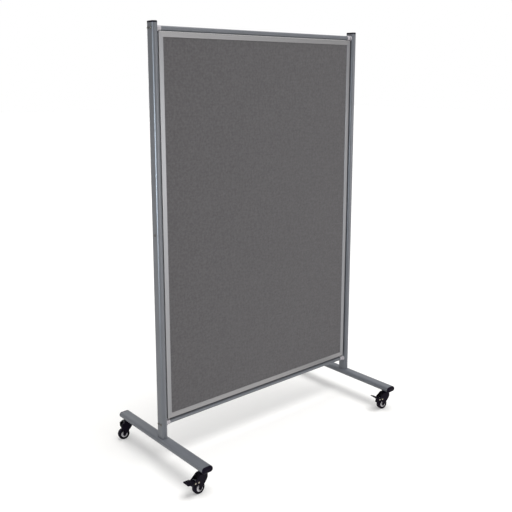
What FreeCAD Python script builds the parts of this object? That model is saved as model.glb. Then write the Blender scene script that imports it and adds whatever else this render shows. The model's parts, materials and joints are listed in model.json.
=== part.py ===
import FreeCAD, Part
import math
import os

from FreeCAD import Vector

os.makedirs("parts", exist_ok=True)

# Mobile partition: a fabric pin-up panel in an aluminium frame, hung between two posts on castered feet.
# Millimetres, +Z up, origin on the floor midway between the posts, -Y the front.

X = Vector(1, 0, 0)
Y = Vector(0, 1, 0)
Z = Vector(0, 0, 1)

# Stand: posts, feet and their caps
OVERALL_HEIGHT = 1800.0
POST_SPACING = 1110.0
POST_DEPTH = 50.0
POST_WIDTH = 25.0
POST_WALL = 1.5
POST_CAP_HEIGHT = 7.0
POST_CAP_ROUND = 3.0
FLOOR_CLEARANCE = 90.0
FOOT_LENGTH = 614.0
FOOT_WIDTH = 50.0
FOOT_HEIGHT = 25.0
FOOT_WALL = 1.8
FOOT_CAP_LENGTH = 10.0
FOOT_CAP_ROUND = 8.0
CAP_PLUG_LENGTH = 14.0
CAP_PLUG_WALL = 2.0
PLUG_CLEARANCE = 0.1

# Joint between post and foot: a tapped plug in the post, bolted from inside the foot
BASE_PLUG_SHARE = 0.5
FOOT_BOLT_DIAMETER = 8.0
FOOT_BOLT_HEAD_DIAMETER = 13.0
FOOT_BOLT_HEAD_HEIGHT = 8.0
FOOT_BOLT_KEY = 6.0
FOOT_BOLT_GRIP_SHARE = 2 / 3
FOOT_BOLT_PITCH = 24.0
FOOT_ACCESS_DIAMETER = 17.0

# Rails and their end sockets
RAIL_DIAMETER = 20.0
RAIL_WALL = 1.5
TOP_RAIL_DROP = 26.5
BOTTOM_RAIL_HEIGHT = 175.0
SOCKET_LENGTH = 21.0
SOCKET_WALL = 1.2
SOCKET_CLEARANCE = 0.1
SOCKET_FLANGE_LENGTH = 34.0
SOCKET_FLANGE_THICKNESS = 5.0
SOCKET_ROUND = 1.0

# Bolts through the posts
BOLT_DIAMETER = 6.0
BOLT_HEAD_DIAMETER = 10.0
BOLT_HEAD_HEIGHT = 3.0
BOLT_KEY = 4.0
BOLT_CLEARANCE = 0.25
BOLT_TIP_GAP = 0.5
RAIL_BOLT_PITCH = 19.0
THREAD_CLEARANCE = 0.05
TIP_CHAMFER = 0.6
HEAD_CROWN_SHARE = 0.55
HEAD_EDGE_SHARE = 0.4
SHOULDER_SHARE = 0.75
KEY_DEPTH_SHARE = 0.6

# Panel: extruded frame, board and fabric
FRAME_SIDE_GAP = 7.0
FRAME_TOP_CLEARANCE = 0.3
FRAME_BOTTOM_GAP = 8.5
FRAME_FACE = 20.5
FRAME_DEPTH = 26.0
FRAME_WALL = 1.6
FRAME_BOX = 5.6
FRAME_EDGE_ROUND = 1.0
CORNER_KEY_ARM = 45.0
CORNER_KEY_CLEARANCE = 0.15
PANEL_EDGE_CLEARANCE = 0.5
PANEL_SLIP = 0.2
FABRIC_THICKNESS = 2.5
FABRIC_STEP = 0.3
FABRIC_FIELD_CLEARANCE = 0.4
SPACER_DIAMETER = 14.0
SIDE_NUT_ACROSS = 10.0
SIDE_NUT_HEIGHT = 4.5

# Casters: stem, swivel head and wheel
CASTER_INSET = 27.0
CASTER_TRAIL = 23.0
CASTER_TURNS = {"left_front": 0.0, "left_rear": -12.0, "right_front": -12.0, "right_rear": -6.0}
PEDAL_LIFTS = {"left_front": 0.0, "right_front": 20.0}
STEM_DIAMETER = 10.0
STEM_LENGTH = 20.0
STEM_HOLE_CLEARANCE = 0.3
STEM_NUT_ACROSS = 16.0
STEM_NUT_HEIGHT = 9.0
DISH_DIAMETER = 37.0
DISH_THICKNESS = 3.0
DISH_ROUND = 2.0
DISH_SKIRT = 2.0
SWIVEL_GAP = 3.0
SKIRT_GAP = 0.5
RUNNING_CLEARANCE = 0.05
SPINDLE_DIAMETER = 11.0
RIVET_DIAMETER = 16.0
RIVET_HEIGHT = 3.0
RING_DIAMETER = 30.0
WHEEL_DIAMETER = 50.0
TYRE_WIDTH = 20.0
TYRE_EDGE_RADIUS = 4.0
RIM_DIAMETER = 28.0
RIM_GROOVE_WIDTH = 6.0
RIM_GROOVE_DEPTH = 1.5
RIM_FLANGE = 2.2
HUB_DIAMETER = 14.0
HUB_SIDE_CLEARANCE = 0.3
HUB_DISH = 2.0
TYRE_FIT = 0.05
BUSH_DIAMETER = 9.0
AXLE_DIAMETER = 6.0
AXLE_HEAD_DIAMETER = 10.0
AXLE_HEAD_HEIGHT = 3.0
AXLE_NUT_ACROSS = 10.0
AXLE_NUT_HEIGHT = 5.0
AXLE_KEY = 4.0

# Caster fork: a round-fronted crown with two legs, deeper at the back where it carries a brake
FORK_WIDTH = 30.0
FORK_LEG = 3.0
CROWN_ROUND = 3.0
CROWN_FRONT = 20.0
CROWN_REAR = 20.0
FORK_FRONT_DROP = 16.0
HOOD_REAR = 35.0
HOOD_SLOPE_DROP = 10.0
HOOD_DEPTH = 26.0
FORK_BOSS_RADIUS = 6.5
FORK_WAIST_BACK = 5.0
FORK_WAIST_RISE = 14.0
BOSS_ANGLES = (180.0, 270.0, 0.0)
BRAKE_LOBE_RADIUS = 6.5

# Brake: pedal with its shoe, pins and leaf spring, placed back from and above the wheel's centre
PEDAL_PIN_BACK = 23.0
PEDAL_PIN_RISE = 29.5
SPRING_PIN_BACK = 7.0
SPRING_PIN_RISE = 28.5
BRAKE_PIN_DIAMETER = 4.0
BRAKE_PIN_HEAD_DIAMETER = 7.0
BRAKE_PIN_HEAD_HEIGHT = 1.2
PEDAL_HUB_RADIUS = 5.5
PEDAL_SIDE_CLEARANCE = 0.4
PEDAL_REACH = 37.0
PEDAL_RISE = 2.0
PEDAL_NECK = 8.0
PEDAL_TIP = 3.0
PEDAL_WIDTH = 36.0
PEDAL_CORNER = 3.0
PEDAL_RIDGE_RADIUS = 1.2
PEDAL_RIDGE_PITCH = 6.0
PEDAL_RIDGES = 3
SHOE_WIDTH = 16.0
SHOE_GAP = 0.25
SHOE_DEPTH = 5.0
SHOE_TOP_ANGLE = 135.0
SHOE_LOW_ANGLE = 160.0
SHOE_NECK_ANGLES = (320.0, 200.0)
LOBE_ANGLES = (120.0, 190.0, 260.0)
LEAF_THICKNESS = 1.0
LEAF_WIDTH = 14.0
LEAF_RISE = 5.0

OVERRUN = 5.0
SAME_PLANE = 0.001

# Places worked out from the sizes
post_inner = POST_SPACING / 2 - POST_WIDTH / 2
post_outer = POST_SPACING / 2 + POST_WIDTH / 2
foot_top = FLOOR_CLEARANCE + FOOT_HEIGHT
base_plug_height = (BOTTOM_RAIL_HEIGHT - foot_top) * BASE_PLUG_SHARE
foot_bolt_grip = base_plug_height * FOOT_BOLT_GRIP_SHARE
post_top = OVERALL_HEIGHT - POST_CAP_HEIGHT
top_rail_height = OVERALL_HEIGHT - TOP_RAIL_DROP
socket_radius = RAIL_DIAMETER / 2 + SOCKET_CLEARANCE + SOCKET_WALL
frame_half = post_inner - FRAME_SIDE_GAP
frame_top = top_rail_height - socket_radius - FRAME_TOP_CLEARANCE
frame_bottom = BOTTOM_RAIL_HEIGHT + RAIL_DIAMETER / 2 + FRAME_BOTTOM_GAP
frame_middle = (frame_top + frame_bottom) / 2
frame_inner_half = FRAME_DEPTH / 2 - FRAME_WALL
channel_floor = FRAME_WALL + FRAME_BOX + FRAME_WALL
fabric_edge_face = frame_inner_half - PANEL_SLIP
core_face = fabric_edge_face - (FABRIC_THICKNESS - FABRIC_STEP)
crown_top = FLOOR_CLEARANCE - DISH_THICKNESS - SWIVEL_GAP
crown_under = crown_top - FORK_LEG
leg_gap = FORK_WIDTH - FORK_LEG * 2
wheel_radius = WHEEL_DIAMETER / 2
wheel_centre = Vector(-CASTER_TRAIL, 0, wheel_radius)
pedal_pin = wheel_centre + Vector(-PEDAL_PIN_BACK, 0, PEDAL_PIN_RISE)
spring_pin = wheel_centre + Vector(-SPRING_PIN_BACK, 0, SPRING_PIN_RISE)
caster_half = FOOT_LENGTH / 2 - CASTER_INSET
caster_stems = {
    "left_front": Vector(-POST_SPACING / 2, -caster_half, 0),
    "left_rear": Vector(-POST_SPACING / 2, caster_half, 0),
    "right_front": Vector(POST_SPACING / 2, -caster_half, 0),
    "right_rear": Vector(POST_SPACING / 2, caster_half, 0),
}
SIDES = {"left": -1, "right": 1}


# Shared shapes

def save(name, *pieces):
    """Write one node; several pieces make a group of separate solids."""
    shape = pieces[0] if len(pieces) == 1 else Part.makeCompound(list(pieces))
    shape.exportStep("parts/" + name + ".step")


def rod(start, direction, radius, length):
    return Part.makeCylinder(radius, length, start, direction)


def polar(centre, radius, degrees):
    """Point in the XZ plane, at an angle from +X towards +Z."""
    angle = math.radians(degrees)
    return centre + X * (radius * math.cos(angle)) + Z * (radius * math.sin(angle))


def outline(start, *steps):
    """Closed face: each step is a point for a straight run, or a pair of points, via and end, for an arc."""
    edges = []
    here = start
    for step in steps:
        if isinstance(step, tuple):
            edges.append(Part.Arc(here, step[0], step[1]).toShape())
            here = step[1]
        else:
            edges.append(Part.makeLine(here, step))
            here = step
    if (here - start).Length > SAME_PLANE:
        edges.append(Part.makeLine(here, start))
    return Part.Face(Part.Wire(edges))


def slab(face, width):
    """Plate of a face drawn in the XZ plane, centred on that plane."""
    return face.extrude(Y * width).translated(Y * (-width / 2))


def turned(face, position, direction):
    """Solid of revolution drawn as radius in X and height in Z, set on a place and axis."""
    solid = face.revolve(Vector(), Z, 360)
    solid.Placement = FreeCAD.Placement(position, FreeCAD.Rotation(Z, direction))
    return solid


def oval_face(centre, long_axis, short_axis, long_side, short_side):
    """Flat oval: two straight sides joined by half circles."""
    side = short_axis * (short_side / 2)
    end = long_axis * (long_side / 2)
    straight = long_axis * (long_side / 2 - short_side / 2)
    return outline(centre - straight + side, centre + straight + side,
                   (centre + end, centre + straight - side), centre - straight - side,
                   (centre - end, centre - straight + side))


def oval_tube(start, run, long_axis, short_axis, long_side, short_side, wall):
    outer = oval_face(start, long_axis, short_axis, long_side, short_side)
    inner = oval_face(start, long_axis, short_axis, long_side - wall * 2, short_side - wall * 2)
    return outer.extrude(run).cut(inner.extrude(run))


def hexagon(start, direction, across, length):
    side = Z if abs(direction.z) < abs(direction.x) + abs(direction.y) else X
    other = direction.cross(side)
    radius = across / math.sqrt(3)
    corners = []
    for step in range(7):
        angle = math.radians(60 * step)
        corners.append(start + side * (radius * math.cos(angle)) + other * (radius * math.sin(angle)))
    return Part.Face(Part.makePolygon(corners)).extrude(direction * length)


def hexagon_nut(start, direction, across, height, thread):
    bore = rod(start - direction * OVERRUN, direction, thread / 2 + THREAD_CLEARANCE, height + OVERRUN * 2)
    return hexagon(start, direction, across, height).cut(bore)


def bolt(seat, direction, diameter, length, head_diameter, head_height, key):
    """Round-headed bolt with a hexagon key hole: head on the seat, shank along the direction."""
    rim = head_diameter / 2
    crown = rim * HEAD_CROWN_SHARE
    edge = head_height * HEAD_EDGE_SHARE
    shoulder_height = edge + (head_height - edge) * SHOULDER_SHARE
    shoulder = Vector(crown + (rim - crown) * SHOULDER_SHARE, 0, -shoulder_height)
    profile = outline(Vector(0, 0, -head_height), Vector(crown, 0, -head_height),
                      (shoulder, Vector(rim, 0, -edge)), Vector(rim, 0, 0),
                      Vector(diameter / 2, 0, 0), Vector(diameter / 2, 0, length - TIP_CHAMFER),
                      Vector(diameter / 2 - TIP_CHAMFER, 0, length), Vector(0, 0, length))
    body = turned(profile, seat, direction)
    return body.cut(hexagon(seat - direction * head_height, direction, key, head_height * KEY_DEPTH_SHARE))


def edges_in_plane(shape, point, normal):
    """Edges that lie wholly in one plane, found by their middle and ends."""
    found = []
    for edge in shape.Edges:
        spots = [vertex.Point for vertex in edge.Vertexes] + [edge.CenterOfMass]
        if all(abs((spot - point).dot(normal)) < SAME_PLANE for spot in spots):
            found.append(edge)
    return found


def end_cap(base, axis, long_axis, short_axis, long_side, short_side, wall, height, rounding):
    """Moulded tube end: a rounded head the size of the tube and a hollow plug that fits inside it."""
    head = oval_face(base, long_axis, short_axis, long_side, short_side).extrude(axis * height)
    head = head.makeFillet(rounding, edges_in_plane(head, base + axis * height, axis))
    shrink = (wall + PLUG_CLEARANCE) * 2
    plug = oval_tube(base, axis * -CAP_PLUG_LENGTH, long_axis, short_axis,
                     long_side - shrink, short_side - shrink, CAP_PLUG_WALL)
    return head.fuse(plug).removeSplitter()


# Stand

def post(side):
    """Flat oval tube, drilled through its flat sides for the rail and panel bolts."""
    x = SIDES[side] * POST_SPACING / 2
    run = Z * (post_top - foot_top)
    tube = oval_tube(Vector(x, 0, foot_top), run, Y, X, POST_DEPTH, POST_WIDTH, POST_WALL)
    for y, z in rail_bolt_places() + [(0, frame_middle)]:
        start = Vector(x - POST_WIDTH / 2 - OVERRUN, y, z)
        tube = tube.cut(rod(start, X, BOLT_DIAMETER / 2 + BOLT_CLEARANCE, POST_WIDTH + OVERRUN * 2))
    return tube


def rail_bolt_places():
    """Places of the rail bolts on a post's flat side, as Y and Z."""
    half = RAIL_BOLT_PITCH / 2
    return [(y, z) for z in (BOTTOM_RAIL_HEIGHT, top_rail_height) for y in (-half, half)]


def post_cap(side):
    base = Vector(SIDES[side] * POST_SPACING / 2, 0, post_top)
    return end_cap(base, Z, Y, X, POST_DEPTH, POST_WIDTH, POST_WALL, POST_CAP_HEIGHT, POST_CAP_ROUND)


def foot(side):
    """Flat oval tube lying flat, drilled for the post bolts and, at each end, for a caster stem."""
    centre = Vector(SIDES[side] * POST_SPACING / 2, -FOOT_LENGTH / 2, FLOOR_CLEARANCE + FOOT_HEIGHT / 2)
    tube = oval_tube(centre, Y * FOOT_LENGTH, X, Z, FOOT_WIDTH, FOOT_HEIGHT, FOOT_WALL)
    wall_cut = FOOT_WALL + OVERRUN * 2
    for y in (-FOOT_BOLT_PITCH / 2, FOOT_BOLT_PITCH / 2):
        upper = Vector(centre.x, y, foot_top - FOOT_WALL - OVERRUN)
        lower = Vector(centre.x, y, FLOOR_CLEARANCE - OVERRUN)
        tube = tube.cut(rod(upper, Z, FOOT_BOLT_DIAMETER / 2 + BOLT_CLEARANCE, wall_cut))
        tube = tube.cut(rod(lower, Z, FOOT_ACCESS_DIAMETER / 2, wall_cut))
    for y in (-caster_half, caster_half):
        lower = Vector(centre.x, y, FLOOR_CLEARANCE - OVERRUN)
        tube = tube.cut(rod(lower, Z, STEM_DIAMETER / 2 + STEM_HOLE_CLEARANCE, wall_cut))
    return tube


def foot_cap(side, facing):
    base = Vector(SIDES[side] * POST_SPACING / 2, facing * FOOT_LENGTH / 2, FLOOR_CLEARANCE + FOOT_HEIGHT / 2)
    return end_cap(base, Y * facing, X, Z, FOOT_WIDTH, FOOT_HEIGHT, FOOT_WALL,
                   FOOT_CAP_LENGTH, FOOT_CAP_ROUND)


def base_plug(side):
    """Tapped block in the lower end of a post."""
    base = Vector(SIDES[side] * POST_SPACING / 2, 0, foot_top)
    shrink = (POST_WALL + PLUG_CLEARANCE) * 2
    block = oval_face(base, Y, X, POST_DEPTH - shrink, POST_WIDTH - shrink).extrude(Z * base_plug_height)
    for y in (-FOOT_BOLT_PITCH / 2, FOOT_BOLT_PITCH / 2):
        start = base + Y * y - Z * OVERRUN
        thread = FOOT_BOLT_DIAMETER / 2 + THREAD_CLEARANCE
        block = block.cut(rod(start, Z, thread, base_plug_height + OVERRUN * 2))
    return block


def foot_bolt(side, facing):
    seat = Vector(SIDES[side] * POST_SPACING / 2, facing * FOOT_BOLT_PITCH / 2, foot_top - FOOT_WALL)
    return bolt(seat, Z, FOOT_BOLT_DIAMETER, FOOT_WALL + foot_bolt_grip,
                FOOT_BOLT_HEAD_DIAMETER, FOOT_BOLT_HEAD_HEIGHT, FOOT_BOLT_KEY)


# Rails

def rail(height):
    """Round tube between the stop faces of its two sockets."""
    half = post_inner - SOCKET_FLANGE_THICKNESS
    start = Vector(-half, 0, height)
    tube = rod(start, X, RAIL_DIAMETER / 2, half * 2)
    return tube.cut(rod(start, X, RAIL_DIAMETER / 2 - RAIL_WALL, half * 2))


def rail_socket(side, height):
    """Oval flange against the post with a collar that takes the rail's end."""
    inward = X * -SIDES[side]
    face = Vector(SIDES[side] * post_inner, 0, height)
    stop = face + inward * SOCKET_FLANGE_THICKNESS
    oval = oval_face(face, Y, Z, SOCKET_FLANGE_LENGTH, socket_radius * 2)
    flange = oval.extrude(stop - face)
    flange = flange.makeFillet(SOCKET_ROUND, edges_in_plane(flange, stop, X))
    collar = rod(face, inward, socket_radius, SOCKET_LENGTH)
    mouth = edges_in_plane(collar, face + inward * SOCKET_LENGTH, X)
    socket = flange.fuse(collar.makeFillet(SOCKET_ROUND, mouth)).removeSplitter()
    socket = socket.cut(rod(stop, inward, RAIL_DIAMETER / 2 + SOCKET_CLEARANCE, SOCKET_LENGTH))
    for y in (-RAIL_BOLT_PITCH / 2, RAIL_BOLT_PITCH / 2):
        start = face + Y * y - inward * OVERRUN
        socket = socket.cut(rod(start, inward, BOLT_DIAMETER / 2 + THREAD_CLEARANCE,
                                SOCKET_FLANGE_THICKNESS - BOLT_TIP_GAP + OVERRUN))
    return socket


def rail_bolt(side, y, z):
    seat = Vector(SIDES[side] * post_outer, y, z)
    length = POST_WIDTH + SOCKET_FLANGE_THICKNESS - BOLT_TIP_GAP * 2
    return bolt(seat, X * -SIDES[side], BOLT_DIAMETER, length, BOLT_HEAD_DIAMETER, BOLT_HEAD_HEIGHT, BOLT_KEY)


# Panel

def frame_member(start, end, inward):
    """Mitred length of the frame: a closed box along the outside and a channel that takes the panel."""
    run = end - start
    along = Vector(run).normalize()

    def band(near, far, half):
        corners = [start + inward * near - Y * half, start + inward * far - Y * half,
                   start + inward * far + Y * half, start + inward * near + Y * half]
        return Part.Face(Part.makePolygon(corners + corners[:1])).extrude(run)

    bar = band(0, FRAME_FACE, FRAME_DEPTH / 2)
    rims = [edge for edge in bar.Edges if abs(edge.Length - run.Length) < SAME_PLANE]
    bar = bar.makeFillet(FRAME_EDGE_ROUND, rims)
    bar = bar.cut(band(FRAME_WALL, FRAME_WALL + FRAME_BOX, frame_inner_half))
    bar = bar.cut(band(channel_floor, FRAME_FACE + OVERRUN, frame_inner_half))
    inset = FRAME_FACE
    mitre = outline(start, end, end + (inward - along) * inset, start + (inward + along) * inset)
    return bar.common(slab(mitre, FRAME_DEPTH + OVERRUN))


def frame_members():
    low_left = Vector(-frame_half, 0, frame_bottom)
    low_right = Vector(frame_half, 0, frame_bottom)
    high_left = Vector(-frame_half, 0, frame_top)
    high_right = Vector(frame_half, 0, frame_top)
    right = frame_member(low_right, high_right, -X)
    left = frame_member(low_left, high_left, X)
    for member, outward in ((left, -X), (right, X)):
        start = Vector(outward.x * frame_half, 0, frame_middle) + outward * OVERRUN
        hole = rod(start, -outward, BOLT_DIAMETER / 2 + BOLT_CLEARANCE, OVERRUN + FRAME_WALL + FRAME_BOX / 2)
        yield ("frame_left" if outward.x < 0 else "frame_right"), member.cut(hole)
    yield "frame_bottom", frame_member(low_left, low_right, Z)
    yield "frame_top", frame_member(high_left, high_right, -Z)


def corner_key(sideways, upwards):
    """Angle piece driven into the box hollows of two frame members."""
    outer = FRAME_WALL + CORNER_KEY_CLEARANCE
    inner = FRAME_WALL + FRAME_BOX - CORNER_KEY_CLEARANCE
    corner = Vector(sideways * frame_half, 0, frame_top if upwards > 0 else frame_bottom)

    def spot(across, down):
        return corner - X * (sideways * across) - Z * (upwards * down)

    arm = CORNER_KEY_ARM
    shape = outline(spot(outer, outer), spot(arm, outer), spot(arm, inner), spot(inner, inner),
                    spot(inner, arm), spot(outer, arm))
    return slab(shape, (frame_inner_half - CORNER_KEY_CLEARANCE) * 2)


def panel_sheet(margin, near, far):
    """Flat sheet a margin in from the frame's outer edge, between two distances from the middle plane."""
    low = Vector(-frame_half + margin, near, frame_bottom + margin)
    width = (frame_half - margin) * 2
    height = frame_top - frame_bottom - margin * 2
    return Part.makeBox(width, far - near, height, low)


def fabric(facing):
    """Fabric face over the board, pressed a little thinner where the frame's lip holds its edge."""
    edge_margin = channel_floor + PANEL_EDGE_CLEARANCE
    field_margin = FRAME_FACE + FABRIC_FIELD_CLEARANCE
    near, step, face = core_face, fabric_edge_face, fabric_edge_face + FABRIC_STEP
    if facing < 0:
        edge = panel_sheet(edge_margin, -step, -near)
        field = panel_sheet(field_margin, -face, -near)
    else:
        edge = panel_sheet(edge_margin, near, step)
        field = panel_sheet(field_margin, near, face)
    return edge.fuse(field).removeSplitter()


def side_spacer(side):
    """Sleeve that keeps the panel's frame clear of the post."""
    start = Vector(SIDES[side] * frame_half, 0, frame_middle)
    outward = X * SIDES[side]
    sleeve = rod(start, outward, SPACER_DIAMETER / 2, FRAME_SIDE_GAP)
    return sleeve.cut(rod(start, outward, BOLT_DIAMETER / 2 + BOLT_CLEARANCE, FRAME_SIDE_GAP))


def side_bolt(side):
    seat = Vector(SIDES[side] * post_outer, 0, frame_middle)
    length = POST_WIDTH + FRAME_SIDE_GAP + FRAME_WALL + SIDE_NUT_HEIGHT
    return bolt(seat, X * -SIDES[side], BOLT_DIAMETER, length, BOLT_HEAD_DIAMETER, BOLT_HEAD_HEIGHT, BOLT_KEY)


def side_nut(side):
    start = Vector(SIDES[side] * (frame_half - FRAME_WALL), 0, frame_middle)
    return hexagon_nut(start, X * -SIDES[side], SIDE_NUT_ACROSS, SIDE_NUT_HEIGHT, BOLT_DIAMETER)


# Casters, drawn with the swivel axis on Z and the wheel trailing towards -X

def caster_stem():
    """Threaded stem with a skirted dish under the foot and a spindle riveted over below the fork."""
    dish = DISH_DIAMETER / 2
    under = FLOOR_CLEARANCE - DISH_THICKNESS
    rivet_top = crown_under - RUNNING_CLEARANCE
    spindle = SPINDLE_DIAMETER / 2
    tip = FLOOR_CLEARANCE + STEM_LENGTH
    skirt_low = crown_top + SKIRT_GAP
    bend = polar(Vector(dish - DISH_ROUND, 0, FLOOR_CLEARANCE - DISH_ROUND), DISH_ROUND, 45)
    profile = outline(Vector(0, 0, tip), Vector(STEM_DIAMETER / 2 - TIP_CHAMFER, 0, tip),
                      Vector(STEM_DIAMETER / 2, 0, tip - TIP_CHAMFER),
                      Vector(STEM_DIAMETER / 2, 0, FLOOR_CLEARANCE),
                      Vector(dish - DISH_ROUND, 0, FLOOR_CLEARANCE),
                      (bend, Vector(dish, 0, FLOOR_CLEARANCE - DISH_ROUND)), Vector(dish, 0, skirt_low),
                      Vector(dish - DISH_SKIRT, 0, skirt_low), Vector(dish - DISH_SKIRT, 0, under),
                      Vector(spindle, 0, under), Vector(spindle, 0, rivet_top),
                      Vector(RIVET_DIAMETER / 2, 0, rivet_top),
                      Vector(RIVET_DIAMETER / 2 - TIP_CHAMFER, 0, rivet_top - RIVET_HEIGHT),
                      Vector(0, 0, rivet_top - RIVET_HEIGHT))
    return turned(profile, Vector(), Z)


def stem_nut():
    seat = Vector(0, 0, FLOOR_CLEARANCE + FOOT_WALL)
    return hexagon_nut(seat, Z, STEM_NUT_ACROSS, STEM_NUT_HEIGHT, STEM_DIAMETER)


def swivel_ring():
    """Nylon thrust ring between the dish and the fork's crown."""
    start = Vector(0, 0, crown_top + RUNNING_CLEARANCE)
    height = SWIVEL_GAP - RUNNING_CLEARANCE * 2
    bore = SPINDLE_DIAMETER / 2 + RUNNING_CLEARANCE
    return rod(start, Z, RING_DIAMETER / 2, height).cut(rod(start, Z, bore, height))


def fork_outline(braked):
    """Side of the fork: crown on top, sloping back, and curving in to a narrow boss at the axle."""
    front = Vector(CROWN_FRONT, 0, crown_top)
    rear = Vector(-CROWN_REAR, 0, crown_top)
    low_front = Vector(CROWN_FRONT, 0, crown_top - FORK_FRONT_DROP)
    waist = wheel_centre + Vector(-FORK_WAIST_BACK, 0, FORK_WAIST_RISE)
    boss_back, boss_low, boss_front = [polar(wheel_centre, FORK_BOSS_RADIUS, angle) for angle in BOSS_ANGLES]
    if braked:
        lobe = [polar(pedal_pin, BRAKE_LOBE_RADIUS, angle) for angle in LOBE_ANGLES]
        back = [lobe[0], (lobe[1], lobe[2])]
    else:
        hood = Vector(-HOOD_REAR, 0, crown_top - HOOD_SLOPE_DROP)
        back = [hood, Vector(-HOOD_REAR, 0, crown_top - HOOD_DEPTH)]
    return outline(front, rear, *back, (waist, boss_back), (boss_low, boss_front), low_front)


def fork_plan(half_width, height):
    """Plan of the fork from the floor up: parallel sides and a half-round front."""
    front = Vector(CROWN_FRONT - FORK_WIDTH / 2, 0, 0)
    back = Vector(-HOOD_REAR - FORK_WIDTH, 0, 0)
    side = Y * half_width
    plan = outline(back - side, front - side, (front + X * half_width, front + side), back + side)
    return plan.extrude(Z * height)


def fork(braked):
    """Pressed crown and two legs, bored for the spindle, axle and any brake pins."""
    body = slab(fork_outline(braked), FORK_WIDTH).common(fork_plan(FORK_WIDTH / 2, crown_top))
    top_edges = edges_in_plane(body, Vector(0, 0, crown_top), Z)
    rim = [edge for edge in top_edges if edge.BoundBox.XLength > SAME_PLANE]
    body = body.makeFillet(CROWN_ROUND, rim)
    body = body.cut(fork_plan(leg_gap / 2, crown_under))
    spindle_start = Vector(0, 0, crown_under - OVERRUN)
    body = body.cut(rod(spindle_start, Z, SPINDLE_DIAMETER / 2 + RUNNING_CLEARANCE, FORK_LEG + OVERRUN * 2))
    body = body.cut(cross_hole(wheel_centre, AXLE_DIAMETER))
    if braked:
        for pin in (pedal_pin, spring_pin):
            body = body.cut(cross_hole(pin, BRAKE_PIN_DIAMETER))
    return body


def cross_hole(centre, diameter):
    """Cutter for a hole across the fork that a pin of this diameter fits."""
    start = centre - Y * (FORK_WIDTH / 2 + OVERRUN)
    return rod(start, Y, diameter / 2 + RUNNING_CLEARANCE, FORK_WIDTH + OVERRUN * 2)


def axle():
    """Axle bolt with its nut."""
    seat = wheel_centre - Y * (FORK_WIDTH / 2)
    screw = bolt(seat, Y, AXLE_DIAMETER, FORK_WIDTH + AXLE_NUT_HEIGHT,
                 AXLE_HEAD_DIAMETER, AXLE_HEAD_HEIGHT, AXLE_KEY)
    nut = hexagon_nut(wheel_centre + Y * (FORK_WIDTH / 2), Y, AXLE_NUT_ACROSS, AXLE_NUT_HEIGHT, AXLE_DIAMETER)
    return screw, nut


def bush():
    """Sleeve clamped between the fork legs, on which the wheel turns."""
    start = wheel_centre - Y * (leg_gap / 2)
    bore = rod(start, Y, AXLE_DIAMETER / 2 + RUNNING_CLEARANCE, leg_gap)
    return rod(start, Y, BUSH_DIAMETER / 2, leg_gap).cut(bore)


def wheel_hub():
    """Moulded wheel centre: bored boss, dished sides and a grooved rim that keys the tyre."""
    bore = BUSH_DIAMETER / 2 + RUNNING_CLEARANCE
    boss = HUB_DIAMETER / 2
    end = leg_gap / 2 - HUB_SIDE_CLEARANCE
    web = TYRE_WIDTH / 2 - HUB_DISH
    side = TYRE_WIDTH / 2
    rim = RIM_DIAMETER / 2
    lip = rim - RIM_FLANGE
    groove = RIM_GROOVE_WIDTH / 2
    floor = rim - RIM_GROOVE_DEPTH
    upper = [(bore, end), (boss, end), (boss, web), (lip, web),
             (lip, side), (rim, side), (rim, groove), (floor, groove)]
    lower = [(radius, -height) for radius, height in reversed(upper)]
    points = [Vector(radius, 0, height) for radius, height in upper + lower]
    return turned(outline(*points), wheel_centre, Y)


def tyre():
    """Solid tyre with rounded shoulders, moulded over the rim."""
    inner = RIM_DIAMETER / 2 + TYRE_FIT
    key = inner - RIM_GROOVE_DEPTH
    groove = RIM_GROOVE_WIDTH / 2 - TYRE_FIT
    side = TYRE_WIDTH / 2
    high = Vector(wheel_radius - TYRE_EDGE_RADIUS, 0, side - TYRE_EDGE_RADIUS)
    low = Vector(wheel_radius - TYRE_EDGE_RADIUS, 0, -side + TYRE_EDGE_RADIUS)
    profile = outline(Vector(inner, 0, side), Vector(high.x, 0, side),
                      (polar(high, TYRE_EDGE_RADIUS, 45), Vector(wheel_radius, 0, high.z)),
                      Vector(wheel_radius, 0, low.z),
                      (polar(low, TYRE_EDGE_RADIUS, -45), Vector(low.x, 0, -side)), Vector(inner, 0, -side),
                      Vector(inner, 0, -groove), Vector(key, 0, -groove), Vector(key, 0, groove),
                      Vector(inner, 0, groove))
    return turned(profile, wheel_centre, Y)


# Brake, drawn with the pedal pressed down and the shoe on the tyre

def brake_shoe():
    """Arm from the pedal's hub to a shoe that is hollowed to the tyre's curve."""
    face = wheel_radius + SHOE_GAP
    top, low = SHOE_TOP_ANGLE, SHOE_LOW_ANGLE
    neck = [polar(pedal_pin, PEDAL_HUB_RADIUS, angle) for angle in SHOE_NECK_ANGLES]
    shape = outline(neck[0], polar(wheel_centre, face, top),
                    (polar(wheel_centre, face, (top + low) / 2), polar(wheel_centre, face, low)),
                    polar(wheel_centre, face + SHOE_DEPTH, low), neck[1])
    return slab(shape, SHOE_WIDTH)


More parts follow.
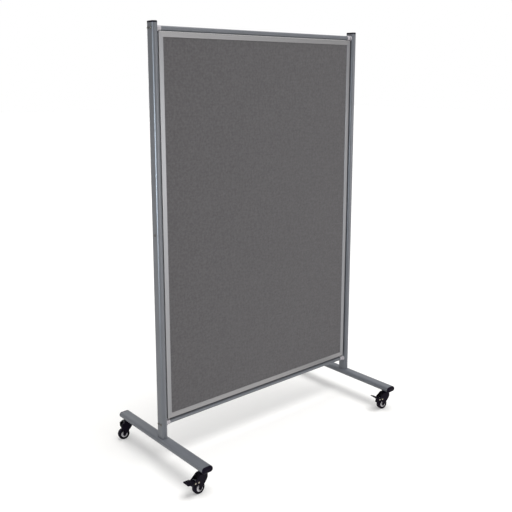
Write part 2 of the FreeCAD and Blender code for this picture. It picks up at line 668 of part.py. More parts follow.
def pedal_plate():
    """Lever that thins towards its tip, with a narrow neck between the fork legs and a wide ridged tread."""
    root = pedal_pin + Z * PEDAL_HUB_RADIUS
    tip = root - X * PEDAL_REACH + Z * PEDAL_RISE
    heel = polar(pedal_pin, PEDAL_HUB_RADIUS, SHOE_NECK_ANGLES[1])
    side_view = slab(outline(root, tip, tip - Z * PEDAL_TIP, heel, pedal_pin), PEDAL_WIDTH)
    floor = pedal_pin.z - PEDAL_HUB_RADIUS
    height = tip.z - floor
    inner_half = leg_gap / 2 - PEDAL_SIDE_CLEARANCE
    neck = Part.makeBox(PEDAL_NECK + PEDAL_CORNER, inner_half * 2, height,
                        Vector(root.x - PEDAL_NECK - PEDAL_CORNER, -inner_half, floor))
    tread = Part.makeBox(PEDAL_REACH - PEDAL_NECK, PEDAL_WIDTH, height,
                         Vector(tip.x, -PEDAL_WIDTH / 2, floor))
    corners = [edge for edge in tread.Edges if edge.BoundBox.ZLength > SAME_PLANE]
    plate = side_view.common(tread.makeFillet(PEDAL_CORNER, corners).fuse(neck))
    for row in range(PEDAL_RIDGES):
        crest = tip + (root - tip) * (PEDAL_RIDGE_PITCH * (row + 1) / PEDAL_REACH)
        start = crest - Y * (PEDAL_WIDTH / 2 - PEDAL_CORNER)
        plate = plate.fuse(rod(start, Y, PEDAL_RIDGE_RADIUS, PEDAL_WIDTH - PEDAL_CORNER * 2))
    return plate


def pedal(lift):
    """Brake pedal, lifted from the pressed position by an angle about its pin."""
    inner_half = leg_gap / 2 - PEDAL_SIDE_CLEARANCE
    hub = rod(pedal_pin - Y * inner_half, Y, PEDAL_HUB_RADIUS, inner_half * 2)
    body = hub.fuse(brake_shoe()).fuse(pedal_plate()).removeSplitter()
    body = body.cut(cross_hole(pedal_pin, BRAKE_PIN_DIAMETER))
    body.rotate(pedal_pin, Y, lift)
    return body


def brake_pin(centre):
    """Headed pin across the fork, riveted flush on the far side."""
    seat = centre - Y * (FORK_WIDTH / 2)
    head = rod(seat, -Y, BRAKE_PIN_HEAD_DIAMETER / 2, BRAKE_PIN_HEAD_HEIGHT)
    head = head.makeFillet(TIP_CHAMFER, edges_in_plane(head, seat - Y * BRAKE_PIN_HEAD_HEIGHT, Y))
    return head.fuse(rod(seat, Y, BRAKE_PIN_DIAMETER / 2, FORK_WIDTH)).removeSplitter()


def brake_spring():
    """Leaf wrapped round the spring pin, reaching back over the pedal's hub."""
    bore = BRAKE_PIN_DIAMETER / 2 + RUNNING_CLEARANCE
    outer = bore + LEAF_THICKNESS
    start = spring_pin - Y * (LEAF_WIDTH / 2)
    end = pedal_pin + Z * (PEDAL_HUB_RADIUS + LEAF_RISE)
    strip = outline(spring_pin + Z * bore, spring_pin + Z * outer, end + Z * LEAF_THICKNESS, end)
    curl = rod(start, Y, outer, LEAF_WIDTH).fuse(slab(strip, LEAF_WIDTH)).removeSplitter()
    return curl.cut(cross_hole(spring_pin, BRAKE_PIN_DIAMETER))


def at_caster(name, shape):
    """Turn a caster piece to its place's swivel angle and move it under the foot."""
    placed = shape.copy()
    placed.rotate(Vector(), Z, CASTER_TURNS[name])
    return placed.translated(caster_stems[name])


# Build every node

for side in SIDES:
    save(side + "_post", post(side))
    save(side + "_post_cap", post_cap(side))
    save(side + "_foot", foot(side))
    for place, facing in (("front", -1), ("rear", 1)):
        save(side + "_" + place + "_foot_cap", foot_cap(side, facing))
    save("top_" + side + "_rail_socket", rail_socket(side, top_rail_height))
    save("bottom_" + side + "_rail_socket", rail_socket(side, BOTTOM_RAIL_HEIGHT))

save("post_base_plugs", *[base_plug(side) for side in SIDES])
save("foot_bolts", *[foot_bolt(side, facing) for side in SIDES for facing in (-1, 1)])
save("top_rail", rail(top_rail_height))
save("bottom_rail", rail(BOTTOM_RAIL_HEIGHT))
save("rail_bolts", *[rail_bolt(side, y, z) for side in SIDES for y, z in rail_bolt_places()])

for node, member in frame_members():
    save(node, member)
save("frame_corner_keys", *[corner_key(sideways, upwards) for sideways in (-1, 1) for upwards in (-1, 1)])
save("panel_core", panel_sheet(channel_floor + PANEL_EDGE_CLEARANCE, -core_face, core_face))
save("front_fabric", fabric(-1))
save("rear_fabric", fabric(1))
save("panel_side_spacers", *[side_spacer(side) for side in SIDES])
save("panel_side_bolts", *[side_bolt(side) for side in SIDES])
save("panel_side_nuts", *[side_nut(side) for side in SIDES])

save("caster_stems", *[at_caster(name, caster_stem()) for name in caster_stems])
save("stem_nuts", *[at_caster(name, stem_nut()) for name in caster_stems])
save("swivel_rings", *[at_caster(name, swivel_ring()) for name in caster_stems])
for name in caster_stems:
    braked = name in PEDAL_LIFTS
    save(name + "_fork", at_caster(name, fork(braked)))
    save(name + "_axle", *[at_caster(name, piece) for piece in axle()])
    save(name + "_bush", at_caster(name, bush()))
    save(name + "_wheel_hub", at_caster(name, wheel_hub()))
    save(name + "_tyre", at_caster(name, tyre()))
    if braked:
        save(name + "_pedal", at_caster(name, pedal(PEDAL_LIFTS[name])))
        save(name + "_brake_pins", *[at_caster(name, brake_pin(pin)) for pin in (pedal_pin, spring_pin)])
        save(name + "_brake_spring", at_caster(name, brake_spring()))
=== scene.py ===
# %% [markdown]
# A mobile partition: a fabric pin-up panel in an aluminium frame, between two posts on castered
# feet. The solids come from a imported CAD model, in metres, with the floor at Z 0 and the front
# towards -Y. This lesson leaves those solids where they are and gives them cloth, finishes, light
# and a camera.

# %% Load the frame
import json
import math

import bpy
from mathutils import Matrix, Vector


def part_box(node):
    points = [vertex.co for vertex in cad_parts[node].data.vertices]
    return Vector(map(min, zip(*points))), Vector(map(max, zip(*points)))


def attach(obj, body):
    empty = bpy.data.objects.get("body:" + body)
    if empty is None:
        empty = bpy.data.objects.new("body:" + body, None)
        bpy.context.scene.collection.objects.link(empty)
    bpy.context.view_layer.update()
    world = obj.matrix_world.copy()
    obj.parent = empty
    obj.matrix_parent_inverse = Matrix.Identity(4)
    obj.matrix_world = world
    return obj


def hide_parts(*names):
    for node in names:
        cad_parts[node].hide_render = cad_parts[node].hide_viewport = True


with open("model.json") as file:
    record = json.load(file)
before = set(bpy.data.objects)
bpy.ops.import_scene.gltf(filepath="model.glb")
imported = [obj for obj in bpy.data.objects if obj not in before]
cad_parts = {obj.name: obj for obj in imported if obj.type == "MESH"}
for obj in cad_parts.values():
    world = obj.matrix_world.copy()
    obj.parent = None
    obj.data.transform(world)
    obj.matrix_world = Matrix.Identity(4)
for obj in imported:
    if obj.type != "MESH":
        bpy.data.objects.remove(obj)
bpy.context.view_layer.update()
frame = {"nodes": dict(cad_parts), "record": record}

nodes = frame["nodes"]
print("CAD nodes:", len(nodes))

# %% [markdown]
# The camera comes first, because every later choice is judged through it. It could be placed by
# eye, but its place, direction and focal length were solved from edges of the partition, seen from
# the front left at eye height, so that posts and feet fall where they should. The lens axis lies a
# little above the picture's middle, which a small vertical shift gives.

# %% Camera
PICTURE = 512
FOCAL_PIXELS = 712.45
AXIS_ROW = 212
CAMERA_PLACE = (-2.05685, -2.34077, 1.58579)
LOOK_DOWN = 0.185
LOOK_RIGHT = 0.711

camera_data = bpy.data.cameras.new("camera")
camera_data.lens = camera_data.sensor_width * FOCAL_PIXELS / PICTURE
camera_data.shift_y = (AXIS_ROW - PICTURE / 2) / PICTURE
camera = bpy.data.objects.new("camera", camera_data)
camera.location = CAMERA_PLACE
camera.rotation_euler = (math.pi / 2 - LOOK_DOWN, 0, -LOOK_RIGHT)
bpy.context.scene.collection.objects.link(camera)
bpy.context.scene.camera = camera
bpy.context.scene.view_settings.view_transform = "Standard"
print("lens", round(camera_data.lens, 1), "mm")

# %% [markdown]
# A few helpers carry all the finishes. One turns a hex colour into the linear values that shaders
# use. One adds a node: its settings are properties, its inputs are either numbers or another
# node's output, and stops are the colours of a ramp. One starts a finish with the shader's own
# sockets set to values that are the same all over. One turns a real size into a texture's scale.

# %% Helpers for finishes
def linear(code):
    """Linear RGBA of an sRGB hex colour."""
    parts = [int(code[i:i + 2], 16) / 255 for i in (1, 3, 5)]
    return [c / 12.92 if c <= 0.04045 else ((c + 0.055) / 1.055) ** 2.4 for c in parts] + [1]


def add(tree, kind, inputs=None, stops=(), **settings):
    """Add one node; inputs map a socket's name or number to a value or to another output."""
    made = tree.nodes.new(kind)
    for name, value in settings.items():
        setattr(made, name, value)
    for number, (place, code) in enumerate(stops):
        bar = made.color_ramp.elements
        element = bar[number] if number < len(bar) else bar.new(place)
        element.position, element.color = place, linear(code)
    for socket, value in (inputs or {}).items():
        if isinstance(value, bpy.types.NodeSocket):
            tree.links.new(value, made.inputs[socket])
        else:
            made.inputs[socket].default_value = value
    return made


def new_finish(name, **sockets):
    """A material whose Principled shader has these sockets set, with _ standing for a space."""
    finish = bpy.data.materials.new(name)
    finish.use_nodes = True
    shader = finish.node_tree.nodes["Principled BSDF"]
    for socket, value in sockets.items():
        shader.inputs[socket.replace("_", " ")].default_value = value
    return finish, finish.node_tree, shader


def per_metre(millimetres):
    """How many features of this size fit in a metre: a texture's scale on Object coordinates."""
    return 1000 / millimetres


print("helpers ready")

# %% [markdown]
# Silver powder coat, on posts, feet and rails: steel tube sprayed with grey polyester powder that
# holds aluminium flake. To the eye the flake gives a soft metal sheen and the melted powder a faint
# orange peel. A plain grey would look like paint, and a full metal like bare steel, so the coat is
# a dielectric with a little metal in it. Flake is under a tenth of a millimetre, too fine to show,
# so it is drawn as clusters of about a millimetre and a half.

# %% Silver powder coat
FLAKE_MM = 1.5
CLOUD_MM = 90
PEEL_MM = 3

silver_coat, tree, shader = new_finish("silver_powder_coat", Metallic=0.1)
place = add(tree, "ShaderNodeTexCoord").outputs["Object"]
fine = {"Vector": place, "Scale": per_metre(FLAKE_MM), "Detail": 2.0}
flake = add(tree, "ShaderNodeTexNoise", fine).outputs[0]
broad = {"Vector": place, "Scale": per_metre(CLOUD_MM), "Detail": 3.0}
cloud = add(tree, "ShaderNodeTexNoise", broad).outputs[0]
blend = add(tree, "ShaderNodeMix", {0: 0.5, 2: flake, 3: cloud}).outputs[0]
stops = ((0.3, "#64676d"), (0.7, "#707379"))
colour = add(tree, "ShaderNodeValToRGB", {0: blend}, stops).outputs[0]
tree.links.new(colour, shader.inputs["Base Color"])
rough = {"Value": cloud, "To Min": 0.32, "To Max": 0.4}
gloss = add(tree, "ShaderNodeMapRange", rough).outputs[0]
tree.links.new(gloss, shader.inputs["Roughness"])
waves = {"Vector": place, "Scale": per_metre(PEEL_MM), "Detail": 1.0}
peel = add(tree, "ShaderNodeTexNoise", waves).outputs[0]
depth = {"Strength": 0.12, "Distance": 0.0002, "Height": peel}
bump = add(tree, "ShaderNodeBump", depth).outputs[0]
tree.links.new(bump, shader.inputs["Normal"])
print(silver_coat.name)

# %% [markdown]
# Anodised aluminium, on the panel's frame: an extruded section etched matt and anodised clear. It
# is paler and more even than the coated steel, with fine die lines along each length. The lines
# could be modelled, but they are a few hundredths of a millimetre deep, so noise drawn out along
# the run gives them, a little wider than real ones so that they show. The upright and level members
# need one finish each, from the same recipe, with the lines along their own run. Their two pairs of
# tones differ a little, and that difference is painted light and shade: it stands for the way light
# falls on level and on upright members, not for a different metal.

# %% Anodised aluminium
DIE_LINE_MM = 1.6
DIE_RUN_MM = 600


def anodised(name, run, dark, light):
    """Satin aluminium with die lines along one axis of the object."""
    finish, tree, shader = new_finish(name, Metallic=1.0, Anisotropic=0.3)
    place = add(tree, "ShaderNodeTexCoord").outputs["Object"]
    stretch = [per_metre(DIE_RUN_MM if axis == run else DIE_LINE_MM) for axis in "XYZ"]
    drawn = add(tree, "ShaderNodeMapping", {"Vector": place, "Scale": stretch}).outputs[0]
    noise = {"Vector": drawn, "Scale": 1.0, "Detail": 3.0}
    lines = add(tree, "ShaderNodeTexNoise", noise).outputs[0]
    stops = ((0.3, dark), (0.7, light))
    colour = add(tree, "ShaderNodeValToRGB", {0: lines}, stops).outputs[0]
    tree.links.new(colour, shader.inputs["Base Color"])
    rough = {"Value": lines, "To Min": 0.38, "To Max": 0.5}
    gloss = add(tree, "ShaderNodeMapRange", rough).outputs[0]
    tree.links.new(gloss, shader.inputs["Roughness"])
    depth = {"Strength": 0.1, "Distance": 0.0001, "Height": lines}
    bump = add(tree, "ShaderNodeBump", depth).outputs[0]
    tree.links.new(bump, shader.inputs["Normal"])
    return finish


# The level and upright tones differ slightly as painted light and shade, not as a different metal.
alloy_level = anodised("anodised_aluminium_level", "X", "#8e8d8e", "#999899")
alloy_upright = anodised("anodised_aluminium_upright", "Z", "#8a8a8d", "#979799")
print(alloy_level.name, alloy_upright.name)

# %% [markdown]
# Woven panel cloth: a plain weave of dyed polyester yarn with thicker slubs here and there, which
# show as faint level and upright streaks, and lots of yarn that took the dye a little differently,
# which show as soft mottling. Yarn pitch is about 1.2 mm and a plain weave repeats every two yarns,
# so its crossings are two waves of 2.4 mm, one taken from the other; modelled yarn would need
# millions of faces. The weave shows close up, and from across a room the streaks and the mottling
# carry the look. The streaks are noise drawn out along the weft and the warp, the mottling is noise
# of about 9 mm, and a sheen stands for the loose fibre ends.

# %% Woven panel cloth
WEAVE_MM = 2.4
WAVE_BANDS = 20 / math.tau  # bands per metre of a wave texture at scale 1
SLUB_LENGTH_MM = 70
SLUB_WIDTH_MM = 3.2
MOTTLE_MM = 9

surface = {"Roughness": 0.92, "Sheen_Weight": 0.12, "Sheen_Roughness": 0.5}
cloth_finish, tree, shader = new_finish("woven_panel_cloth", **surface)
place = add(tree, "ShaderNodeTexCoord").outputs["Object"]
along, across = per_metre(SLUB_LENGTH_MM), per_metre(SLUB_WIDTH_MM)
slubs = []
for stretch in ((along, along, across), (across, along, along)):
    drawn = add(tree, "ShaderNodeMapping", {"Vector": place, "Scale": stretch}).outputs[0]
    noise = {"Vector": drawn, "Scale": 1.0, "Detail": 3.0}
    slubs.append(add(tree, "ShaderNodeTexNoise", noise).outputs[0])
slub = add(tree, "ShaderNodeMix", {0: 0.5, 2: slubs[0], 3: slubs[1]}).outputs[0]
patches = {"Vector": place, "Scale": per_metre(MOTTLE_MM), "Detail": 3.0}
mottle = add(tree, "ShaderNodeTexNoise", patches).outputs[0]
tone = add(tree, "ShaderNodeMix", {0: 0.6, 2: slub, 3: mottle}).outputs[0]
stops = ((0.36, "#535153"), (0.64, "#615f61"))
colour = add(tree, "ShaderNodeValToRGB", {0: tone}, stops).outputs[0]
tree.links.new(colour, shader.inputs["Base Color"])
yarns = {"Vector": place, "Scale": per_metre(WEAVE_MM) / WAVE_BANDS}
level = add(tree, "ShaderNodeTexWave", yarns, bands_direction="Z").outputs[1]
upright = add(tree, "ShaderNodeTexWave", yarns, bands_direction="X").outputs[1]
weave = add(tree, "ShaderNodeMath", {0: level, 1: upright}, operation="SUBTRACT").outputs[0]
height = add(tree, "ShaderNodeMix", {0: 0.4, 2: weave, 3: slub}).outputs[0]
depth = {"Strength": 0.6, "Distance": 0.0006, "Height": height}
bump = add(tree, "ShaderNodeBump", depth).outputs[0]
tree.links.new(bump, shader.inputs["Normal"])
print(cloth_finish.name)

# %% [markdown]
# Moulded plastics, rubber and black lacquer. The end caps, sockets, hubs and pedals come from
# moulds with a fine eroded grain, the tyres are a softer, duller rubber, the forks, stems and axles
# are lacquered over, and the board behind the cloth is pressed fibre. Each could have a finish of
# its own, but one recipe gives them all: a colour that drifts a little, a roughness that drifts
# with it, and a grain whose size and depth differ. Real grain is a few tenths of a millimetre, and
# it is drawn coarser, at about one, so that it shows.

# %% Recipe for moulded finishes
DRIFT_MM = 14
MOULDED_DRIFT = 0.07


def moulded(name, dark, light, roughness, grain_mm, depth_mm, **sockets):
    """Moulded plastic or rubber: two close colours, a middle roughness and a grain."""
    finish, tree, shader = new_finish(name, **sockets)
    place = add(tree, "ShaderNodeTexCoord").outputs["Object"]
    noise = {"Vector": place, "Scale": per_metre(DRIFT_MM), "Detail": 4.0}
    drift = add(tree, "ShaderNodeTexNoise", noise).outputs[0]
    stops = ((0.35, dark), (0.7, light))
    colour = add(tree, "ShaderNodeValToRGB", {0: drift}, stops).outputs[0]
    tree.links.new(colour, shader.inputs["Base Color"])
    low, high = roughness - MOULDED_DRIFT, roughness + MOULDED_DRIFT
    rough = {"Value": drift, "To Min": low, "To Max": high}
    gloss = add(tree, "ShaderNodeMapRange", rough).outputs[0]
    tree.links.new(gloss, shader.inputs["Roughness"])
    eroded = {"Vector": place, "Scale": per_metre(grain_mm), "Detail": 2.0}
    grain = add(tree, "ShaderNodeTexNoise", eroded).outputs[0]
    depth = {"Strength": 0.3, "Distance": depth_mm / 1000, "Height": grain}
    bump = add(tree, "ShaderNodeBump", depth).outputs[0]
    tree.links.new(bump, shader.inputs["Normal"])
    return finish


print("recipe ready, drift", DRIFT_MM, "mm")

# %% [markdown]
# The pieces' own plastics differ in colour, polish and grain: the caps are polypropylene, the
# pedals and rail sockets nylon, and the wheels light grey polypropylene with black rubber tyres. On
# the real casters the blacks stay deep and faintly violet even where a lamp shines on them. A
# darker colour alone would not do that, so the shader's gloss is weakened and tinted as well.

# %% Plastics, rubber and lacquer
BLACK = {"Specular_IOR_Level": 0.1, "Specular_Tint": linear("#c2b2e4")}
cap_black = moulded("moulded_polypropylene", "#09070e", "#0f0b15", 0.48, 0.8, 0.05, **BLACK)
fork_black = moulded("black_fork_lacquer", "#07050b", "#0d0a12", 0.36, 1.2, 0.03, **BLACK)
pedal_black = moulded("moulded_nylon", "#07050b", "#0d0a12", 0.5, 0.7, 0.06, **BLACK)
tyre_black = moulded("black_rubber", "#0a080e", "#110e15", 0.66, 0.9, 0.08, **BLACK)
hub_grey = moulded("light_grey_polypropylene", "#c3c1c5", "#d0ced1", 0.44, 0.8, 0.04, IOR=1.49)
socket_grey = moulded("light_grey_nylon", "#b3b0b5", "#c0bdc1", 0.46, 0.8, 0.04, IOR=1.53)
ring_white = moulded("natural_nylon", "#dcd8cb", "#e6e2d6", 0.5, 0.8, 0.03, IOR=1.53)
board_brown = moulded("fibre_board", "#8b7354", "#a08a68", 0.85, 1.5, 0.1)
print("black:", cap_black.name, fork_black.name, pedal_black.name, tyre_black.name)
print("pale:", hub_grey.name, socket_grey.name, ring_white.name, board_brown.name)

# %% [markdown]
# Plated and plain metals: nuts and brake pins are zinc plated with a faint yellow passivation, the
# bolts are drawn in a darker zinc, which is painted shade for the shadow their heads sit in, the
# leaf springs and bushes are bare steel, and the corner keys and base plugs are cast aluminium.
# Plating and casting leave small patches of different polish, which keep a small part from looking
# like chrome, so each is a full metal whose colour and roughness drift together.

# %% Plated and plain metals
METAL_DRIFT = 0.08


def metal(name, dark, light, roughness, patch_mm):
    """Bare or plated metal with patches of slightly different colour and polish."""
    finish, tree, shader = new_finish(name, Metallic=1.0)
    place = add(tree, "ShaderNodeTexCoord").outputs["Object"]
    noise = {"Vector": place, "Scale": per_metre(patch_mm), "Detail": 4.0}
    patch = add(tree, "ShaderNodeTexNoise", noise).outputs[0]
    stops = ((0.35, dark), (0.65, light))
    colour = add(tree, "ShaderNodeValToRGB", {0: patch}, stops).outputs[0]
    tree.links.new(colour, shader.inputs["Base Color"])
    rough = {"Value": patch, "To Min": roughness - METAL_DRIFT, "To Max": roughness + METAL_DRIFT}
    gloss = add(tree, "ShaderNodeMapRange", rough).outputs[0]
    tree.links.new(gloss, shader.inputs["Roughness"])
    return finish


zinc = metal("zinc_plate", "#8f897b", "#a8a295", 0.4, 4)
# The bolts' darker zinc is painted shade, standing for the shadow their heads sit in.
bolt_zinc_painted_shade = metal("zinc_plate_painted_shade", "#54514d", "#6b6762", 0.36, 4)
spring_steel = metal("spring_steel", "#8f9196", "#a9abb0", 0.36, 6)
bush_steel = metal("turned_steel", "#a2a3a6", "#bcbdc0", 0.3, 5)
key_alloy = metal("cast_aluminium", "#a7a8aa", "#b7b8ba", 0.5, 6)
print("metals:", zinc.name, bolt_zinc_painted_shade.name, spring_steel.name, bush_steel.name, key_alloy.name)

# %% [markdown]
# Every solid takes one of these finishes. They could be set one by one, but a list of name endings
# is shorter, and a new caster or bolt would find its finish by its name.

# %% Put the finishes on the solids
FINISH_BY_ENDING = {
    "_post": silver_coat, "_foot": silver_coat, "_rail": silver_coat,
    "_post_cap": cap_black, "_foot_cap": cap_black, "base_plugs": key_alloy,
    "_bolts": bolt_zinc_painted_shade, "_nuts": zinc, "_brake_pins": zinc,
    "_stems": fork_black, "_axle": fork_black, "_fork": fork_black,
    "_rail_socket": socket_grey, "side_spacers": socket_grey,
    "frame_top": alloy_level, "frame_bottom": alloy_level,
    "frame_left": alloy_upright, "frame_right": alloy_upright, "corner_keys": key_alloy,
    "panel_core": board_brown, "_fabric": cloth_finish,
    "swivel_rings": ring_white, "_bush": bush_steel, "_wheel_hub": hub_grey,
    "_tyre": tyre_black, "_pedal": pedal_black, "_brake_spring": spring_steel,
}
for name, solid in nodes.items():
    ending = next(ending for ending in FINISH_BY_ENDING if name.endswith(ending))
    for slot in solid.material_slots:
        slot.material = FINISH_BY_ENDING[ending]
print("finished solids:", len(nodes))

# %% [markdown]
# The cloth faces are cut sheets stretched over the board, their edges held under the frame's lips.
# A cloth simulation would pull such a sheet flat again, so its shape is given: a grid with lines
# close together at the edge lets the cloth rise out of the lip in a soft roll and lie flat in the
# field. A table gives that roll, from the cut edge inwards.

# %% The cloth's roll at its edge
FIELD_STEP = 0.045
EDGE_HEIGHTS = (  # distance from the cut edge, and height above the held edge
    (0.0, 0.0), (0.010, 0.0), (0.0109, 0.00004), (0.0113, 0.00018),
    (0.0120, 0.00030), (0.0135, 0.00038), (0.017, 0.00042), (0.026, 0.00042),
)


def grid_lines(low, high):
    """Places of the grid's lines along one side: close at both edges, even in the field."""
    near = [margin for margin, _ in EDGE_HEIGHTS]
    field = high - low - near[-1] * 2
    count = round(field / FIELD_STEP)
    middle = [low + near[-1] + field * i / count for i in range(1, count)]
    return [low + m for m in near] + middle + [high - m for m in reversed(near)]


def rise(distance):
    """Height of the cloth above its held edge, at a distance from its cut edge."""
    for (before, low), (after, high) in zip(EDGE_HEIGHTS, EDGE_HEIGHTS[1:]):
        if distance <= after:
            return low + (high - low) * (distance - before) / (after - before)
    return EDGE_HEIGHTS[-1][1]


print("roll", EDGE_HEIGHTS[-1][0], "m wide and", EDGE_HEIGHTS[-1][1], "m high")

# %% [markdown]
# One sheet is made for the front and one for the back, in the place of the plain fabric solids. A
# subdivided plane would do for an even sheet, but these lines are uneven, so points and faces are
# listed in rows. Solidify gives the sheet its thickness towards the board, and the size it was cut
# to is printed.

# %% Cloth faces
CLOTH_THICKNESS = 0.0018
HELD_BELOW = 0.0003  # the held edge lies this far under the face of the CAD sheet


def cloth_mesh(name, low, high, facing):
    """The grid of one sheet between two corners of its CAD solid."""
    held_at = max(abs(low.y), abs(high.y)) - HELD_BELOW
    across, up = grid_lines(low.x, high.x), grid_lines(low.z, high.z)
    points = []
    for z in up:
        for x in across:
            edge = min(x - low.x, high.x - x, z - low.z, high.z - z)
            points.append((x, facing * (held_at + rise(edge)), z))
    wide = len(across)
    faces = []
    for row in range(len(up) - 1):
        for column in range(wide - 1):
            first = row * wide + column
            corners = (first, first + 1, first + wide + 1, first + wide)
            faces.append(corners if facing < 0 else corners[::-1])
    mesh = bpy.data.meshes.new(name)
    mesh.from_pydata(points, [], faces)
    mesh.polygons.foreach_set("use_smooth", [True] * len(faces))
    mesh.materials.append(cloth_finish)
    return mesh


def cloth_face(name, node, facing):
    """A stretched sheet in the place of a CAD fabric solid; facing is -1 in front and 1 behind."""
    low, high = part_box(node)
    mesh = cloth_mesh(name, low, high, facing)
    piece = bpy.data.objects.new(name, mesh)
    bpy.context.scene.collection.objects.link(piece)
    wall = piece.modifiers.new("thickness", "SOLIDIFY")
    wall.thickness = CLOTH_THICKNESS
    wall.offset = -1
    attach(piece, "stand")
    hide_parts(node)
    cut = round(high.x - low.x, 4), round(high.z - low.z, 4)
    print(name, len(mesh.polygons), "faces, cut", cut)


cloth_face("front_cloth", "front_fabric", -1)
cloth_face("rear_cloth", "rear_fabric", 1)

# %% [markdown]
# Each wheel's moulded hub is stiffened by thin radial ribs in its dished sides. They repeat round
# the axle, so a small Geometry Nodes tree makes them rather than copies placed by hand: one bar,
# set out from the axle, is put on as many points as there are ribs, each copy turned a step
# further, and the whole ring is turned over for the wheel's other side.

# %% Hub ribs as Geometry Nodes
RIB_LENGTHS = ("Inner Radius", "Outer Radius", "Foot", "Crest", "Thickness")


def ribs_tree(finish):
    """Nodes for one wheel's ribs, with the axle along Y and the wheel's middle at the origin."""
    tree = bpy.data.node_groups.new("hub_ribs", "GeometryNodeTree")
    tree.interface.new_socket("Ribs", in_out="INPUT", socket_type="NodeSocketInt")
    for name in RIB_LENGTHS:
        tree.interface.new_socket(name, in_out="INPUT", socket_type="NodeSocketFloat")
    tree.interface.new_socket("Geometry", in_out="OUTPUT", socket_type="NodeSocketGeometry")
    size = add(tree, "NodeGroupInput").outputs

    inner_parts = {0: size["Inner Radius"], 1: size["Foot"]}
    inner = add(tree, "ShaderNodeCombineXYZ", inner_parts).outputs[0]
    outer_parts = {0: size["Outer Radius"], 1: size["Crest"], 2: size["Thickness"]}
    outer = add(tree, "ShaderNodeCombineXYZ", outer_parts).outputs[0]
    span = {0: outer, 1: inner}
    bar_size = add(tree, "ShaderNodeVectorMath", span, operation="SUBTRACT").outputs[0]
    bar = add(tree, "GeometryNodeMeshCube", {"Size": bar_size}).outputs["Mesh"]
    halved = {0: bar_size, 1: (0.5, 0.5, 0)}
    half_size = add(tree, "ShaderNodeVectorMath", halved, operation="MULTIPLY").outputs[0]
    sum_parts = {0: inner, 1: half_size}
    middle = add(tree, "ShaderNodeVectorMath", sum_parts, operation="ADD").outputs[0]
    set_out = {"Geometry": bar, "Translation": middle}
    bar = add(tree, "GeometryNodeTransform", set_out).outputs[0]

    line = {"Count": size["Ribs"], "Offset": (0, 0, 0)}
    points = add(tree, "GeometryNodeMeshLine", line).outputs[0]
    share = {0: math.tau, 1: size["Ribs"]}
    step = add(tree, "ShaderNodeMath", share, operation="DIVIDE").outputs[0]
    number = add(tree, "GeometryNodeInputIndex").outputs[0]
    angle = add(tree, "ShaderNodeMath", {0: number, 1: step}, operation="MULTIPLY").outputs[0]
    turn = add(tree, "ShaderNodeCombineXYZ", {1: angle}).outputs[0]
    copies = {"Points": points, "Instance": bar, "Rotation": turn}
    ring = add(tree, "GeometryNodeInstanceOnPoints", copies).outputs[0]

    turned_over = {"Geometry": ring, "Rotation": (math.pi, 0, 0)}
    other = add(tree, "GeometryNodeTransform", turned_over).outputs[0]
    both = add(tree, "GeometryNodeJoinGeometry", {0: ring})
    tree.links.new(other, both.inputs[0])
    real = add(tree, "GeometryNodeRealizeInstances", {0: both.outputs[0]}).outputs[0]
    coloured = {"Geometry": real, "Material": finish}
    done = add(tree, "GeometryNodeSetMaterial", coloured).outputs[0]
    add(tree, "NodeGroupOutput", {0: done})
    return tree


hub_ribs = ribs_tree(hub_grey)
print(hub_ribs.name, len(hub_ribs.nodes), "nodes")

# %% [markdown]
# The ribs' sizes come from the hub itself: they run from its boss to its rim, a little under the
# rim's side. The tree could stay on each wheel as a modifier, but a plain mesh is simpler to carry
# over to other programs. So it is run once for each wheel and moved to that wheel's centre and
# axle, and the ribs ride and spin with the wheel.

# %% Ribs on the four wheels
RIB_SIZES = {
    "Ribs": 8, "Inner Radius": 0.0068, "Outer Radius": 0.012,
    "Foot": 0.0078, "Crest": 0.0094, "Thickness": 0.0012,
}
RIB_EDGE = 0.0003
RIB_EDGE_SEGMENTS = 2


def wheel_ribs(name, centre, axle):
    """The ribs of one wheel as a plain mesh that rides on the wheel's body."""
    maker = bpy.data.objects.new("maker", bpy.data.meshes.new("maker"))
    bpy.context.scene.collection.objects.link(maker)
    modifier = maker.modifiers.new("ribs", "NODES")
    modifier.node_group = hub_ribs
    for socket in hub_ribs.interface.items_tree:
        if socket.in_out == "INPUT":
            modifier[socket.identifier] = RIB_SIZES[socket.name]
    made = maker.evaluated_get(bpy.context.evaluated_depsgraph_get())
    mesh = bpy.data.meshes.new_from_object(made)
    bpy.data.objects.remove(maker)
    turn = Vector((0, 1, 0)).rotation_difference(axle).to_matrix().to_4x4()
    mesh.transform(Matrix.Translation(centre) @ turn)
    piece = bpy.data.objects.new(name + "_ribs", mesh)
    bpy.context.scene.collection.objects.link(piece)
    edge = piece.modifiers.new("moulded_edge", "BEVEL")
    edge.width = RIB_EDGE
    edge.segments = RIB_EDGE_SEGMENTS
    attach(piece, name)
    print(piece.name, len(mesh.polygons), "faces")


for joint in frame["record"]["behaviour"]["joints"]:
    if joint["name"].endswith("_wheel_spin"):
        wheel_ribs(joint["child"], Vector(joint["pos_m"]), Vector(joint["axis"]))

# %% [markdown]
# The floor is a pale plane that keeps the soft shadow of the feet. Light strong enough to make it
# white would burn out the frame, so to the camera and in reflections it adds a little light of its
# own, and its open parts end in the same white as the background.

# %% Floor
FLOOR_GLOW = 0.28
REACH = 30.0

floor_finish, tree, shader = new_finish("pale_floor", Roughness=0.9, Specular_IOR_Level=0.1)
shader.inputs["Base Color"].default_value = linear("#dad9d7")
shader.inputs["Emission Color"].default_value = linear("#ffffff")
path = add(tree, "ShaderNodeLightPath").outputs
rays = {0: path["Is Camera Ray"], 1: path["Is Glossy Ray"]}
seen = add(tree, "ShaderNodeMath", rays, operation="MAXIMUM").outputs[0]
rays = {0: seen, 1: path["Is Transmission Ray"]}
seen = add(tree, "ShaderNodeMath", rays, operation="MAXIMUM").outputs[0]
glow = add(tree, "ShaderNodeMath", {0: seen, 1: FLOOR_GLOW}, operation="MULTIPLY").outputs[0]
tree.links.new(glow, shader.inputs["Emission Strength"])

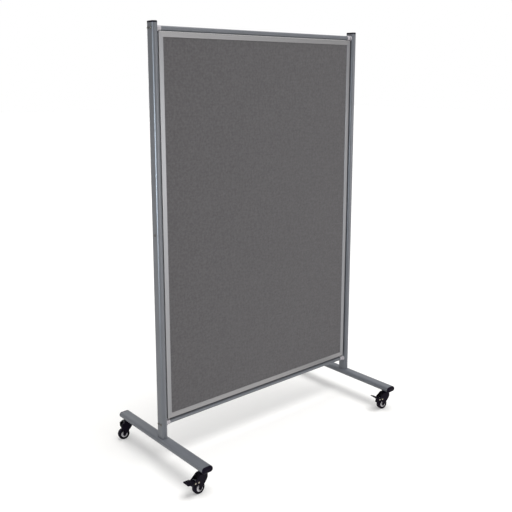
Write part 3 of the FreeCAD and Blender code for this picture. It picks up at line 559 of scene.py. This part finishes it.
floor_mesh = bpy.data.meshes.new("floor")
corners = [(-REACH, -REACH, 0), (REACH, -REACH, 0), (REACH, REACH, 0), (-REACH, REACH, 0)]
floor_mesh.from_pydata(corners, [], [(0, 1, 2, 3)])
floor_mesh.materials.append(floor_finish)
floor = bpy.data.objects.new("floor", floor_mesh)
bpy.context.scene.collection.objects.link(floor)
print("floor", REACH * 2, "m")

# %% [markdown]
# The room is a white background to the camera, dimmer in reflections and dimmer still as a light,
# so that it fills the shadows without washing them out. A picture of a room could light the part
# too, but a plain room keeps the finishes easy to judge.

# %% Room
ROOM_LIGHT = 0.3
ROOM_SHINE = 0.58

world = bpy.data.worlds.new("studio")
bpy.context.scene.world = world
world.use_nodes = True
tree = world.node_tree
path = add(tree, "ShaderNodeLightPath").outputs
rays = {0: path["Is Camera Ray"], 1: path["Is Transmission Ray"]}
seen = add(tree, "ShaderNodeMath", rays, operation="MAXIMUM").outputs[0]
mirrored = {0: path["Is Glossy Ray"], 1: ROOM_SHINE}
shine = add(tree, "ShaderNodeMath", mirrored, operation="MULTIPLY").outputs[0]
seen = add(tree, "ShaderNodeMath", {0: seen, 1: shine}, operation="MAXIMUM").outputs[0]
strength = add(tree, "ShaderNodeMath", {0: seen, 1: ROOM_LIGHT}, operation="MAXIMUM").outputs[0]
background = tree.nodes["Background"]
background.inputs["Color"].default_value = linear("#ffffff")
tree.links.new(strength, background.inputs["Strength"])
print("room light", ROOM_LIGHT, "and shine", ROOM_SHINE)

# %% [markdown]
# Soft studio light: a broad light overhead, tipped a little to the front, draws the shadows of the
# feet under them and that of the panel behind it. A low wide lamp in front lights the cloth and
# gives the frame its gloss, and another lights the back. A lamp level with the posts, at the left,
# shows in reflections only and draws the bright stripe down their rounded sides. The overhead light
# is a sun with a wide disc rather than a lamp, so it is as strong far off as near and the floor
# stays evenly white.

# %% Lamps
def lamp(name, kind, place, target, energy, **settings):
    """A lamp of one kind at a place, aimed at a target."""
    data = bpy.data.lights.new(name, kind)
    data.energy = energy
    for setting, value in settings.items():
        setattr(data, setting, value)
    made = bpy.data.objects.new(name, data)
    made.location = place
    aim = Vector(target) - Vector(place)
    made.rotation_euler = aim.to_track_quat("-Z", "Y").to_euler()
    bpy.context.scene.collection.objects.link(made)
    return made


wide = {"shape": "RECTANGLE", "size": 3.4}
tall = {"shape": "RECTANGLE", "size": 1.0, "size_y": 1.7, "color": (0.76, 0.88, 1.0)}
lamps = [
    lamp("overhead", "SUN", (0.5, -0.6, 4), (0, 0, 0), energy=2.8, angle=math.radians(46)),
    lamp("front", "AREA", (1.2, -7.0, 0.7), (0, 0, 0.9), energy=130, size_y=1.4, **wide),
    lamp("back", "AREA", (0.6, 7.0, 1.8), (0, 0, 1.0), energy=120, size_y=2.6, **wide),
]
strip = lamp("strip", "AREA", (-5.4, 0.0, 0.5), (-0.5, 0, 0.5), energy=430, **tall)
strip.visible_diffuse = False
print("lamps:", [made.name for made in lamps + [strip]])
